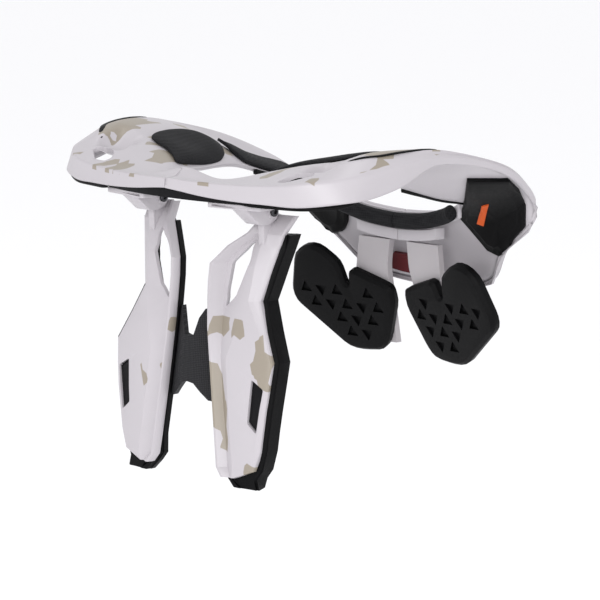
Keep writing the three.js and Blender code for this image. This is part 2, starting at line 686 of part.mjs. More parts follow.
function strutBracket() {
  const half = BRACKET_WIDTH / 2;
  const [y, z] = [HINGE.y, HINGE.z];
  const top = z + HINGE_DROP - GAP;
  const outline = [
    [y - 0.8 * BRACKET_LENGTH, top],
    [y + 0.2 * BRACKET_LENGTH, top],
    ...BRACKET_SIDE.map(([along, up]) => [y + along * BRACKET_LENGTH, z + up * BRACKET_HEIGHT]),
  ];
  const body = prismAlongX(roundedShape(outline, 1.5), HINGE.x - half, HINGE.x + half);
  const boss = cylinderAlongX(BOSS_RADIUS, HINGE.x - half - BOSS_RISE, HINGE.x + half + BOSS_RISE, y, z, BOSS_SIDES);
  const slotHalf = TONGUE_WIDTH / 2 + GAP;
  const slot = prismAlongX(
    roundedShape(
      [[y - 3.2 * TONGUE_RADIUS, z - 30], [y + 30, z - 30], [y + 30, z + 30], [y - 1.8 * TONGUE_RADIUS, z + 30]],
      0,
    ),
    HINGE.x - slotHalf,
    HINGE.x + slotHalf,
  );
  const hole = cylinderAlongX(SCREW_RADIUS + GAP, HINGE.x - CUT_REACH, HINGE.x + CUT_REACH, y, z, SCREW_SIDES);
  return cut(join(body, boss), slot, hole);
}

// Screw: a shank with a head on each side of the bracket.
function pivotScrew() {
  const reach = BRACKET_WIDTH / 2 + BOSS_RISE + GAP;
  const head = (from, to) => cylinderAlongX(SCREW_HEAD_RADIUS, HINGE.x + from, HINGE.x + to, HINGE.y, HINGE.z, SCREW_SIDES);
  return join(
    cylinderAlongX(SCREW_RADIUS, HINGE.x - reach - 0.5, HINGE.x + reach + 0.5, HINGE.y, HINGE.z, SCREW_SIDES),
    head(reach, reach + SCREW_HEAD_THICK),
    head(-reach - SCREW_HEAD_THICK, -reach),
  );
}

// Back strut. Each row is a level below the hinge: the fall as a share of STRUT_FALL, the inner and outer
// edges as shares of STRUT_INNER_REACH and STRUT_OUTER_REACH, the ridge as a share of STRUT_INNER_REACH
// on the inner side, and how far each edge stands to the rear of the hinge as a share of STRUT_SETBACK.
const STRUT_LEVELS = [
  { fall: 0.02, inner: 0.28, outer: 0.78, ridge: -0.1, backInner: -0.5, backOuter: -0.55 },
  { fall: 0.088, inner: 0.42, outer: 0.64, ridge: -0.04, backInner: -0.04, backOuter: -0.15 },
  { fall: 0.138, inner: 0.71, outer: 0.54, ridge: 0.0, backInner: 0.32, backOuter: -0.06 },
  { fall: 0.206, inner: 0.98, outer: 0.39, ridge: 0.04, backInner: 0.63, backOuter: 0.07 },
  { fall: 0.274, inner: 1.0, outer: 0.25, ridge: 0.07, backInner: 0.68, backOuter: 0.19 },
  { fall: 0.336, inner: 0.99, outer: 0.12, ridge: 0.1, backInner: 0.72, backOuter: 0.31 },
  { fall: 0.444, inner: 0.96, outer: 0.54, ridge: 0.27, backInner: 0.78, backOuter: 0.49 },
  { fall: 0.551, inner: 0.9, outer: 1.0, ridge: 0.45, backInner: 0.82, backOuter: 0.67 },
  { fall: 0.641, inner: 0.845, outer: 0.93, ridge: 0.4, backInner: 0.855, backOuter: 0.75 },
  { fall: 0.726, inner: 0.795, outer: 0.84, ridge: 0.35, backInner: 0.885, backOuter: 0.81 },
  { fall: 0.811, inner: 0.735, outer: 0.73, ridge: 0.3, backInner: 0.915, backOuter: 0.835 },
  { fall: 0.89, inner: 0.685, outer: 0.64, ridge: 0.25, backInner: 0.95, backOuter: 0.85 },
  { fall: 0.966, inner: 0.63, outer: 0.4, ridge: 0.2, backInner: 0.98, backOuter: 0.91 },
  { fall: 1.0, inner: 0.5, outer: -0.3, ridge: 0.24, backInner: 1.0, backOuter: 0.98 },
];
const OUTER_EDGE = 1.2; // how far the cover wraps forward at its outer edge
const RAIL_WIDTH = 3;
const VALLEY = 7.5; // inner edge to the bottom of the valley beside the rail
const VALLEY_DEPTH = 5;

const levelOf = ({ fall, inner, outer, ridge, backInner, backOuter }) => ({
  z: HINGE.z - fall * STRUT_FALL,
  inner: HINGE.x - inner * STRUT_INNER_REACH,
  outer: HINGE.x + outer * STRUT_OUTER_REACH,
  ridge: HINGE.x - ridge * STRUT_INNER_REACH,
  yInner: HINGE.y - backInner * STRUT_SETBACK,
  yOuter: HINGE.y - backOuter * STRUT_SETBACK,
});

// The strut's outline at a height.
function levelAt(z) {
  const levels = STRUT_LEVELS.map(levelOf);
  const below = levels.findIndex((level) => level.z <= z);
  const k = below < 0 ? levels.length - 2 : Math.max(0, below - 1);
  const share = (levels[k].z - z) / (levels[k].z - levels[k + 1].z);
  const mixed = Object.keys(levels[k]).map((key) => [key, THREE.MathUtils.lerp(levels[k][key], levels[k + 1][key], share)]);
  return Object.fromEntries(mixed);
}

// One row of the cover's rear face, from the inner edge over the rail, valley and ridge to the outer edge.
function coverRow({ z, inner, outer, ridge, yInner, yOuter }) {
  const flat = Math.min(1, (outer - inner) / 40);
  const face = (x) => THREE.MathUtils.mapLinear(x, inner, outer, yInner, yOuter - OUTER_EDGE);
  const valley = Math.min(inner + VALLEY, ridge - 1);
  const shoulder = Math.max(outer - 4, ridge + 1);
  const web = VALLEY_DEPTH * THREE.MathUtils.clamp((ridge - inner) / 20 - 0.45, 0, 1);
  return [
    point(inner, yInner, z),
    point(inner + RAIL_WIDTH * 0.4, yInner - COVER_EDGE, z),
    point(inner + RAIL_WIDTH, yInner - COVER_EDGE, z),
    point(valley, face(valley) + web, z),
    point(ridge, face(ridge) - RIDGE_RISE * flat, z),
    point(shoulder, face(shoulder) - flat, z),
    point(outer - 1, yOuter - OUTER_EDGE, z),
    point(outer, yOuter, z),
  ];
}

// The Y of the cover's rear face at a place on it.
function faceAt(x, z) {
  const row = coverRow(levelAt(z));
  const k = Math.min(row.length - 2, Math.max(0, row.findIndex((p) => p.x > x) - 1));
  return THREE.MathUtils.mapLinear(x, row[k].x, row[k + 1].x, row[k].y, row[k + 1].y);
}

const moved = (grid, distance) => grid.map((row) => row.map((p) => point(p.x, p.y + distance, p.z)));

// Cut-outs in X from the hinge and in fall from it, as shares of STRUT_INNER_REACH and STRUT_FALL.
const WINDOW = [[-0.2, 0.11], [-0.2, 0.2], [-0.44, 0.32], [-0.68, 0.37], [-0.7, 0.31], [-0.62, 0.2]];
const SLOT = [[0.17, 0.618], [0.45, 0.65], [0.32, 0.82], [0.11, 0.785]];

const onStrut = (corners, shrink = 0) => {
  const points = corners.map(([x, fall]) => new THREE.Vector2(HINGE.x + x * STRUT_INNER_REACH, HINGE.z - fall * STRUT_FALL));
  const middle = points.reduce((sum, p) => sum.add(p), new THREE.Vector2()).divideScalar(points.length);
  return points.map((p) => p.add(middle.clone().sub(p).setLength(shrink))).map((p) => [p.x, p.y]);
};
const throughStrut = (corners) =>
  prismAlongY(roundedShape(onStrut(corners), 1.2), HINGE.y - STRUT_SETBACK - CUT_REACH, HINGE.y + CUT_REACH);

function strutCover() {
  const rear = STRUT_LEVELS.map(levelOf).map((level) => coverRow(level));
  const plate = between(rear, moved(rear, COVER_WALL));
  const half = TONGUE_WIDTH / 2;
  const [y, z] = [HINGE.y, HINGE.z];
  const drop = STRUT_LEVELS[1].fall * STRUT_FALL;
  const lug = prismAlongX(
    roundedShape(
      [[y - TONGUE_RADIUS, z], [y, z + TONGUE_RADIUS], [y + 11, z + 1], [y + 4, z - drop], [y - 3, z - drop - 8], [y - TONGUE_RADIUS, z - drop + 6]],
      1,
    ),
    HINGE.x - half,
    HINGE.x + half,
  );
  const eye = cylinderAlongX(TONGUE_RADIUS, HINGE.x - half, HINGE.x + half, y, z, BOSS_SIDES);
  const hole = cylinderAlongX(SCREW_RADIUS + GAP, HINGE.x - CUT_REACH, HINGE.x + CUT_REACH, y, z, SCREW_SIDES);
  return cut(join(plate, lug, eye), throughStrut(WINDOW), throughStrut(SLOT), hole);
}

// Foam: it fills the cover from inside and stands forward of it. Its foot is wider than the cover's and
// narrows to a tip below it.
function strutFoam() {
  const levels = STRUT_LEVELS.slice(1).map(levelOf);
  const foot = levels.slice(-2);
  foot[1].outer += FOAM_FOOT;
  for (const level of foot) {
    level.yInner += 2 * OUTER_EDGE;
    level.yOuter += 2 * OUTER_EDGE;
  }
  const rear = levels.map((level) => {
    const row = coverRow(level);
    row.unshift(point(level.inner - FOAM_MARGIN, level.yInner, level.z));
    row.push(point(level.outer + FOAM_MARGIN, level.yOuter, level.z));
    return row.map((p) => point(p.x, p.y + COVER_WALL + GAP, p.z));
  });
  const tip = rear.at(-1).map((p) => point(HINGE.x + (p.x - HINGE.x) * FOAM_TIP_SHARE, p.y, p.z - FOAM_TIP));
  rear.push(tip);
  const thick = (p, row) =>
    THREE.MathUtils.mapLinear(p.x, row[0].x, row.at(-1).x, FOAM_INNER_THICK, FOAM_THICK);
  const front = rear.map((row) => row.map((p) => point(p.x, p.y + thick(p, row), p.z)));
  const lugRoom = prismAlongX(
    roundedShape(
      [[HINGE.y - 16, HINGE.z], [HINGE.y + 6, HINGE.z], [HINGE.y + 6, HINGE.z - 26], [HINGE.y - 16, HINGE.z - 26]],
      0,
    ),
    HINGE.x - TONGUE_WIDTH / 2 - GAP,
    HINGE.x + TONGUE_WIDTH / 2 + GAP,
  );
  return cut(between(rear, front), throughStrut(WINDOW), lugRoom);
}

// The insert lies in the cover's slot, just under its face.
function slotInsert() {
  const [topIn, topOut, lowOut, lowIn] = onStrut(SLOT, 1.1);
  const grid = (depth) =>
    [[topIn, topOut], [lowIn, lowOut]].map((row) => row.map(([x, z]) => point(x, faceAt(x, z) + depth, z)));
  return between(grid(-0.2), grid(COVER_WALL - 1.2));
}

// Bridge between the struts. Its upper and lower edges are shares of STRUT_FALL below the hinge, from one
// strut to the other.
const BRIDGE_EDGES = [
  { top: 0.4, bottom: 0.735 },
  { top: 0.385, bottom: 0.73 },
  { top: 0.42, bottom: 0.7 },
  { top: 0.485, bottom: 0.67 },
  { top: 0.49, bottom: 0.665 },
  { top: 0.485, bottom: 0.67 },
  { top: 0.42, bottom: 0.7 },
  { top: 0.385, bottom: 0.73 },
  { top: 0.4, bottom: 0.735 },
];

function strutBridge() {
  const count = BRIDGE_EDGES.length - 1;
  const grid = (depth) =>
    BRIDGE_EDGES.map(({ top, bottom }, i) =>
      steps(top, bottom, 4).map((fall) => {
        const z = HINGE.z - fall * STRUT_FALL;
        const { inner, yInner } = levelAt(z);
        const across = (2 * i) / count - 1;
        const x = across * (inner - FOAM_MARGIN - GAP);
        return point(x, yInner + COVER_WALL + 2 - BRIDGE_ARCH * (1 - across ** 2) + depth, z);
      }),
    );
  return between(grid(0), grid(BRIDGE_THICK));
}

const brace = new THREE.Group();

function add(name, geometry, material) {
  const mesh = new THREE.Mesh(geometry, material);
  mesh.name = name;
  brace.add(mesh);
}

function addPair(name, make, material) {
  const right = make();
  add(name + "_right", right, material);
  add(name + "_left", mirrorGeometry(right.index ? right : mergeVertices(bareOf(right))), material);
}

add("shell_right", shellRight(), materials.shell);
add("shell_left", shellLeft(), materials.shell);
addPair("neck_pad", neckPad, materials.foam);
addPair("side_pad", sidePad, materials.cushion);
addPair("wing_panel", wingPanel, materials.foam);
addPair("piping", piping, materials.foam);
addPair("collar_band", collarBand, materials.shell);
addPair("bolster", bolster, materials.foam);
addPair("arm_mount", armMount, materials.shell);
addPair("pad_arm", padArm, materials.arm);
addPair("chest_pad", chestPad, materials.foam);
add("front_latch", latch(), materials.latch);
add("rear_carrier", carrier(), materials.chassis);
addPair("back_panel", backPanel, materials.foam);
addPair("slider_plate", sliderPlate, materials.shell);
addPair("strut_bracket", strutBracket, materials.shell);
addPair("pivot_screw", pivotScrew, materials.screw);
addPair("strut_cover", strutCover, materials.shell);
addPair("strut_foam", strutFoam, materials.foam);
addPair("slot_insert", slotInsert, materials.chassis);
add("strut_bridge", strutBridge(), materials.weave);

export default brace;
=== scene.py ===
# The frame: the imported solids of a motocross neck brace, which every piece below sits on.
import json
import math

import bmesh
import bpy
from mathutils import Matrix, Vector
from mathutils.bvhtree import BVHTree


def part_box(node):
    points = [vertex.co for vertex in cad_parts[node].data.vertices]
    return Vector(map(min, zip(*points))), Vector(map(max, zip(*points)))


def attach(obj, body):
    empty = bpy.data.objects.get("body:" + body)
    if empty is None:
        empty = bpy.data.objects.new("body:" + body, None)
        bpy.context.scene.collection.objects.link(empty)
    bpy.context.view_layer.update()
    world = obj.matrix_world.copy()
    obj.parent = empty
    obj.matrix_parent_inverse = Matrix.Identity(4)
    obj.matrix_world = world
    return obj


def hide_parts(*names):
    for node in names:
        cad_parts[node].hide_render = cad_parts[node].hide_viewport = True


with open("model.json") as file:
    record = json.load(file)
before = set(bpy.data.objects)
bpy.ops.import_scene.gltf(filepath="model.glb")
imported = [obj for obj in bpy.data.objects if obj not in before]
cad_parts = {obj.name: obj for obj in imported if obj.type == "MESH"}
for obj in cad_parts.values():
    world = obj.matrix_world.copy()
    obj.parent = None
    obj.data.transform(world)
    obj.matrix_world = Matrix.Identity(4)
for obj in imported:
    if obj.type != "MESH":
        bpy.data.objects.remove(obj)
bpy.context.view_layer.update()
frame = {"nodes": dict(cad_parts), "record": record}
nodes = frame["nodes"]
MM = 0.001
SIDES = ("right", "left")

# The camera: a long lens a little above the brace, behind it and to the wearer's right. Its place and
# lens are those that put the brace's mirrored halves where the photograph has them.
VIEW_TURN = math.radians(43)
VIEW_RISE = math.radians(9.584)
VIEW_DISTANCE = 2.425
VIEW_LENS = 211.54
VIEW_END = 100
VIEW_TARGET = Vector((0, -3.593, -89.829)) * MM


def placed(name, data):
    """A new object of the scene that shows some data."""
    made = bpy.data.objects.new(name, data)
    bpy.context.scene.collection.objects.link(made)
    return made


towards_camera = Vector(
    (
        math.sin(VIEW_TURN) * math.cos(VIEW_RISE),
        -math.cos(VIEW_TURN) * math.cos(VIEW_RISE),
        math.sin(VIEW_RISE),
    )
)
camera = placed("camera", bpy.data.cameras.new("camera"))
camera.data.lens = VIEW_LENS
camera.data.clip_end = VIEW_END
camera.location = VIEW_TARGET + towards_camera * VIEW_DISTANCE
camera.rotation_euler = towards_camera.to_track_quat("Z", "Y").to_euler()
bpy.context.scene.camera = camera

# The studio: an even pale sky with three soft lamps, behind the camera, at its right and overhead. The
# brace is held up as a neck would hold it, so the pale floor lies well below its struts.
FLOOR_DROP = 0.45
FLOOR_SIZE = 60
SKY = (0.985, 0.985, 1, 1)
LAMPS = (
    ("key", (1.2, -2.3, 0.5), 1.1, 30),
    ("side", (2.7, -0.4, 0.3), 0.9, 5),
    ("top", (-0.5, 0.5, 2.2), 0.6, 5),
)


def built(name, mesh):
    """A new object with the faces of a finished bmesh."""
    made = placed(name, bpy.data.meshes.new(name))
    mesh.to_mesh(made.data)
    mesh.free()
    return made


world = bpy.data.worlds.new("studio")
world.use_nodes = True
world.node_tree.nodes["Background"].inputs["Color"].default_value = SKY
bpy.context.scene.world = world
bpy.context.scene.view_settings.view_transform = "Standard"
for name, place, size, power in LAMPS:
    lamp = placed(name, bpy.data.lights.new(name, "AREA"))
    lamp.data.size = size
    lamp.data.energy = power
    lamp.location = place
    lamp.rotation_euler = (Vector(place) - VIEW_TARGET).to_track_quat("Z", "Y").to_euler()

floor_mesh = bmesh.new()
bmesh.ops.create_grid(floor_mesh, x_segments=1, y_segments=1, size=FLOOR_SIZE / 2)
floor = built("floor", floor_mesh)
floor.location.z = -FLOOR_DROP

# The white plastic of the collar's wings is moulded, satin and faintly lilac, with a very fine grain. The
# classes here build every finish below: an amount flows through a finish and takes part in its sums.
WHITE = (0.46, 0.435, 0.46)


class Amount:
    """A value in a finish's node tree, for use in sums and tests."""

    def __init__(self, finish, socket):
        self.finish = finish
        self.socket = socket

    def sum(self, operation, first, second):
        return self.finish.node("ShaderNodeMath", {"operation": operation}, {0: first, 1: second})

    def __add__(self, other):
        return self.sum("ADD", self, other)

    def __sub__(self, other):
        return self.sum("SUBTRACT", self, other)

    def __mul__(self, other):
        return self.sum("MULTIPLY", self, other)

    def __gt__(self, other):
        return self.sum("GREATER_THAN", self, other)

    def __lt__(self, other):
        return self.sum("LESS_THAN", self, other)


class Finish:
    """A procedural material, with the nodes that feed it."""

    def __init__(self, name, colour, roughness, **others):
        self.material = bpy.data.materials.new(name)
        self.material.use_nodes = True
        self.tree = self.material.node_tree
        self.shader = self.tree.nodes["Principled BSDF"]
        self.colour = (*colour, 1)
        self.shader.inputs["Base Color"].default_value = self.colour
        self.shader.inputs["Roughness"].default_value = roughness
        for socket, value in others.items():
            self.shader.inputs[socket.replace("_", " ")].default_value = value
        self.place = self.node("ShaderNodeTexCoord", {}, {}, "Object")

    def node(self, kind, settings, inputs, output=0):
        made = self.tree.nodes.new(kind)
        for key, value in settings.items():
            setattr(made, key, value)
        for key, value in inputs.items():
            if isinstance(value, Amount):
                self.tree.links.new(value.socket, made.inputs[key])
            else:
                made.inputs[key].default_value = value
        return Amount(self, made.outputs[output])

    def noise(self, scale, detail=2.0):
        return self.node("ShaderNodeTexNoise", {}, {"Vector": self.place, "Scale": scale, "Detail": detail})

    def mix(self, share, first, second):
        return self.node("ShaderNodeMix", {"data_type": "RGBA"}, {0: share, 6: first, 7: second}, 2)

    def feed(self, socket, amount):
        self.tree.links.new(amount.socket, self.shader.inputs[socket])

    def bump(self, height, strength, depth):
        raised = self.node(
            "ShaderNodeBump", {}, {"Height": height, "Strength": strength, "Distance": depth}, "Normal"
        )
        self.feed("Normal", raised)


def mottle(finish, spread, scale=60):
    """A finish's own colour, clouded with a slightly darker one."""
    dark = tuple(c * (1 - spread) for c in finish.colour[:3]) + (1,)
    return finish.mix(finish.noise(scale, 4), dark, finish.colour)


def shell_finish(name):
    """White plastic, with the clouded colour that a print would cover."""
    finish = Finish(name, colour=WHITE, roughness=0.36)
    plain = mottle(finish, spread=0.04)
    finish.feed("Base Color", plain)
    finish.feed("Roughness", finish.noise(scale=900) * 0.12 + 0.34)
    finish.bump(finish.noise(scale=2600, detail=3), strength=0.12, depth=0.0003)
    return finish, plain


white_plastic, _ = shell_finish("white_plastic")

# Printed plastic carries a plain scatter of beige shards, on the wings where they look up and on the strut
# covers below their windows.
BEIGE = (0.275, 0.24, 0.195, 1)
SHARD_SCALE = 46
SHARD_DISORDER = 0.85
COVER_PRINT_TOP = -0.085
WELD_REACH = 0.02
PAIR_BEND = math.radians(12)
PAIR_SKEW = math.radians(40)
FLAT_BEND = math.radians(1.5)
ROUND_STEPS = 2


def printed_finish(name, stretch, turn, share, masked):
    """White plastic under shards, where a wing is marked for print or low down on a cover."""
    finish, plain = shell_finish(name)
    turned = finish.node(
        "ShaderNodeMapping",
        {},
        {"Vector": finish.place, "Rotation": turn, "Scale": stretch},
    )
    cells = finish.node(
        "ShaderNodeTexVoronoi",
        {"distance": "MANHATTAN"},
        {"Vector": turned, "Scale": SHARD_SCALE, "Randomness": SHARD_DISORDER},
        "Color",
    )
    pick = finish.node("ShaderNodeSeparateColor", {}, {"Color": cells}, "Red")
    mask = pick > share
    if masked:
        mask = mask * (finish.node("ShaderNodeAttribute", {"attribute_name": "print"}, {}, "Fac") > 0.5)
    else:
        height = finish.node("ShaderNodeSeparateXYZ", {}, {"Vector": finish.place}, "Z")
        mask = mask * (height < COVER_PRINT_TOP)
    finish.feed("Base Color", finish.mix(mask, plain, BEIGE))
    return finish


printed_shell = printed_finish(
    "printed_plastic", stretch=(1.6, 0.8, 0.2), turn=(0, 0, 0.6), share=0.72, masked=True
)


def softened(name, node, sharp=35, levels=1, bevel=0.0, merge="pairs", hold=1.0):
    """A welded copy of a solid that stands for it, with its triangles joined and its edges softened."""
    mesh = bmesh.new()
    mesh.from_mesh(nodes[node].data)
    bmesh.ops.remove_doubles(mesh, verts=mesh.verts, dist=WELD_REACH * MM)
    if merge == "pairs":
        bmesh.ops.join_triangles(
            mesh, faces=mesh.faces, angle_face_threshold=PAIR_BEND, angle_shape_threshold=PAIR_SKEW
        )
    if merge == "flats":
        bmesh.ops.dissolve_limit(
            mesh, angle_limit=FLAT_BEND, verts=mesh.verts, edges=mesh.edges, delimit=set()
        )
    crease = mesh.edges.layers.float.new("crease_edge")
    limit = math.radians(sharp)
    hard = [edge for edge in mesh.edges if edge.is_manifold and edge.calc_face_angle(0) > limit]
    if bevel:
        bmesh.ops.bevel(
            mesh,
            geom=hard,
            offset=bevel * MM,
            offset_type="OFFSET",
            affect="EDGES",
            segments=ROUND_STEPS,
            profile=0.5,
            material=-1,
            clamp_overlap=True,
        )
    else:
        for edge in hard:
            edge[crease] = hold
            edge.smooth = hold < 1
    for face in mesh.faces:
        face.smooth = True
    piece = built(name, mesh)
    if levels:
        smoothing = piece.modifiers.new("smoothing", "SUBSURF")
        smoothing.levels = levels
        smoothing.render_levels = levels
    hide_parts(node)
    return piece


def finished(piece, finish, body):
    """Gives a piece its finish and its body."""
    piece.data.materials.append(finish.material)
    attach(piece, body)


# The wings of the collar: two arched shells that overlap at the rear. A scoop falls from the crest to each
# air hole, and the print lies on the upper face, inside the plain rim.
SCOOP = ((114, -60), (101, -56), (84, -72), (79, -101), (96, -106), (110, -98))
SCOOP_DEPTH = 8.5
SCOOP_WALL = 7.0
SCOOP_START = -56
SCOOP_RUN = 26
SCOOP_LEVEL = -84
SCOOP_RISE = 14
SCOOP_CUTS = 3
PRINT_FRONT = 12
PRINT_MIDDLE = 20
PRINT_FACING = 0.62


def smooth_step(share):
    """A share from 0 to 1 that starts and ends gently."""
    held = min(1, max(0, share))
    return held * held * (3 - 2 * held)


def scoop_depth(x, y):
    """How far the scoop lies under the shell at a place, growing from the crest to the hole."""
    corners = [Vector(c) for c in SCOOP]
    place = Vector((x, y))
    centre = sum(corners, Vector((0, 0))) / len(corners)
    inside = math.inf
    for first, second in zip(corners, corners[1:] + corners[:1]):
        along = (second - first).normalized()
        across = Vector((-along.y, along.x))
        if across.dot(centre - first) < 0:
            across = -across
        inside = min(inside, across.dot(place - first))
    fall = smooth_step((SCOOP_START - y) / SCOOP_RUN) * (1 - smooth_step((SCOOP_LEVEL - y) / SCOOP_RISE))
    return SCOOP_DEPTH * smooth_step(inside / SCOOP_WALL) * fall


def sunk(vert, sign):
    """How far the scoop takes down a vertex of the wing on one side."""
    return scoop_depth(sign * vert.co.x / MM, vert.co.y / MM)


for side in SIDES:
    wing = softened("collar_wing_" + side, "shell_" + side, levels=2, hold=0.7)
    sign = 1 if side == "right" else -1
    mesh = bmesh.new()
    mesh.from_mesh(wing.data)
    near_scoop = [edge for edge in mesh.edges if any(sunk(vert, sign) > 0 for vert in edge.verts)]
    bmesh.ops.subdivide_edges(mesh, edges=near_scoop, cuts=SCOOP_CUTS, use_grid_fill=True)
    bmesh.ops.triangulate(mesh, faces=[f for f in mesh.faces if len(f.verts) > 4])
    for vert in mesh.verts:
        vert.co.z -= sunk(vert, sign) * MM
    mesh.normal_update()
    printed = mesh.verts.layers.float.new("print")
    for vert in mesh.verts:
        on_rear = vert.co.y < PRINT_FRONT * MM and abs(vert.co.x) > PRINT_MIDDLE * MM
        vert[printed] = 1.0 if on_rear and vert.normal.z > PRINT_FACING else 0.0
    mesh.to_mesh(wing.data)
    mesh.free()
    finished(wing, printed_shell, "brace")

# The cushions behind and beside the neck and at the throat: foam under black air-mesh cloth, crowned and
# drawn in at their edges.
CLOTH_HOLES = 620.0
CLOTH_DISORDER = 0.15
mesh_cloth = Finish("air_mesh_cloth", colour=(0.008, 0.008, 0.009), roughness=0.72, Specular_IOR_Level=0.12)
holes = mesh_cloth.node(
    "ShaderNodeTexVoronoi",
    {},
    {"Vector": mesh_cloth.place, "Scale": CLOTH_HOLES, "Randomness": CLOTH_DISORDER},
    "Distance",
)
mesh_cloth.feed("Base Color", mesh_cloth.mix(holes, (0.002, 0.002, 0.003, 1), (0.022, 0.022, 0.024, 1)))
mesh_cloth.bump(holes, strength=0.5, depth=0.0008)
for side in SIDES:
    for part in ("neck_pad", "side_pad", "bolster"):
        cushion = softened(f"{part}_cover_{side}", f"{part}_{side}", sharp=75, levels=2, hold=0.8)
        finished(cushion, mesh_cloth, "brace")

# The black linings of the rear wings, the piping along the neck opening, the trim on each crest and the seal
# under each rim are moulded foam with a skin. The trim follows the wing's own surface.
STRIP_STEPS = 5
STRIP_SIDES = 8
STRIP_TIP = 0.35
STRIP_TAPER = 3
CUT_REACH = 60
PANEL_HOLE = ((117, -100), (122, -56), (103, -48), (76, -66), (69, -84), (70, -112), (88, -119), (107, -114))
CREST_LINE = ((110, -86), (119.8, -75.4), (127.3, -64.4), (131.5, -50.7), (134, -34), (135, -18))
CREST_ABOVE = 100
RIM_LINE = ((62, -126, -5), (84, -119.5, -5.5), (104, -113.5, -5.5), (122, -102, -4), (131, -92, -1))

foam_skin = Finish("foam_skin", colour=(0.004, 0.004, 0.0045), roughness=0.5, Specular_IOR_Level=0.09)
foam_skin.feed("Base Color", mottle(foam_skin, spread=0.35, scale=90))
foam_skin.feed("Roughness", foam_skin.noise(scale=500) * 0.2 + 0.42)
foam_skin.bump(foam_skin.noise(scale=1500, detail=4), strength=0.25, depth=0.0006)


def prism(name, corners, reach):
    """A prism for cutting, from corners in millimetres, that reaches along a vector from them."""
    mesh = bmesh.new()
    foot = mesh.faces.new([mesh.verts.new(Vector(corner) * MM) for corner in corners])
    grown = bmesh.ops.extrude_face_region(mesh, geom=[foot])["geom"]
    raised = [item for item in grown if isinstance(item, bmesh.types.BMVert)]
    bmesh.ops.translate(mesh, verts=raised, vec=Vector(reach) * MM)
    bmesh.ops.recalc_face_normals(mesh, faces=mesh.faces)
    return built(name, mesh)


def carve(piece, cutter):
    """Takes the cutter out of a piece, for good, and removes the cutter."""
    carving = piece.modifiers.new("carving", "BOOLEAN")
    carving.object = cutter
    carved = bpy.data.meshes.new_from_object(piece.evaluated_get(bpy.context.evaluated_depsgraph_get()))
    piece.modifiers.clear()
    piece.data = carved
    bpy.data.objects.remove(cutter)


def joined(mesh, rings):
    """Joins rings of vertices with faces and closes the ends. The first ring may be a single vertex."""
    for first, second in zip(rings, rings[1:]):
        for step in range(len(second)):
            following = (step + 1) % len(second)
            upper = (first[step], first[following]) if len(first) > 1 else (first[0],)
            mesh.faces.new((*upper, second[following], second[step]))
    for ring in (rings[0], rings[-1]):
        if len(ring) > 1:
            mesh.faces.new(ring)
    bmesh.ops.recalc_face_normals(mesh, faces=mesh.faces)


def strip(name, points, width, height):
    """A thin band with an oval section along a smooth line through points in millimetres."""
    route = []
    for k in range(len(points) - 1):
        start, end = points[k], points[k + 1]
        before = points[max(0, k - 1)]
        after = points[min(len(points) - 1, k + 2)]
        for step in range(STRIP_STEPS):
            t = step / STRIP_STEPS
            first = (end - before) * 0.5
            second = (after - start) * 0.5
            route.append(
                start * (2 * t**3 - 3 * t**2 + 1)
                + first * (t**3 - 2 * t**2 + t)
                + end * (3 * t**2 - 2 * t**3)
                + second * (t**3 - t**2)
            )
    route.append(points[-1])
    mesh = bmesh.new()
    rings = []
    last = len(route) - 1
    for k, place in enumerate(route):
        along = (route[min(k + 1, last)] - route[max(k - 1, 0)]).normalized()
        across = along.cross(Vector((0, 0, 1))).normalized()
        upward = across.cross(along)
        end_share = min(1, STRIP_TIP + min(k, last - k) / STRIP_TAPER)
        ring = []
        for step in range(STRIP_SIDES):
            turn = 2 * math.pi * (step + 0.5) / STRIP_SIDES
            reach = across * math.cos(turn) * width + upward * math.sin(turn) * height
            ring.append(mesh.verts.new((place + reach * (end_share / 2)) * MM))
        rings.append(ring)
    joined(mesh, rings)
    for face in mesh.faces:
        face.smooth = True
    finished(built(name, mesh), foam_skin, "brace")


for side in SIDES:
    sign = 1 if side == "right" else -1
    for part in ("back_panel", "piping"):
        lining = softened(f"{part}_skin_{side}", f"{part}_{side}", sharp=60, levels=1)
        if part == "back_panel":
            corners = [(sign * x, y, -CUT_REACH) for x, y in PANEL_HOLE]
            carve(lining, prism("panel_cutter", corners, (0, 0, 2 * CUT_REACH)))
        finished(lining, foam_skin, "brace")
    wing = bpy.data.objects["collar_wing_" + side]
    tree = BVHTree.FromObject(wing, bpy.context.evaluated_depsgraph_get())
    crest = []
    for x, y in CREST_LINE:
        met = tree.ray_cast(Vector((sign * x, y, CREST_ABOVE)) * MM, Vector((0, 0, -1)))[0]
        crest.append(met / MM)
    strip("crest_trim_" + side, crest, width=4, height=1.4)
    rim = [Vector((sign * x, y, z)) for x, y, z in RIM_LINE]
    strip("rim_seal_" + side, rim, width=2.4, height=2.6)

# The linings of the front wings: stepped black plates in the hollow of each wing. Their outline is that
# which the camera sees in the near wing, laid on the wing's inner face, and the far one is its mirror
# image. The near one carries a plain orange tab.
LINING_OUTLINE = (
    (467, 178),
    (508, 178),
    (519, 189),
    (526, 205),
    (526, 226),
    (504, 251),
    (498, 253),
    (490, 249),
    (462, 216),
)
LINING_PROFILE = ((0, 5.4), (0.4, 5.4), (0.78, 5.4), (0.84, 4.2), (0.96, 4.0), (1.0, 3.0), (1.0, -0.6))
LINING_ROUNDING = 0.5
LINING_EDGE_STEPS = 5
TAB_CORNERS = ((481.5, 206), (488.5, 204), (484, 225.5), (477.3, 223))
TAB_STEPS = 4
TAB_THICK = 0.5
PICTURE_SIDE = 600
SENSOR_WIDTH = 36


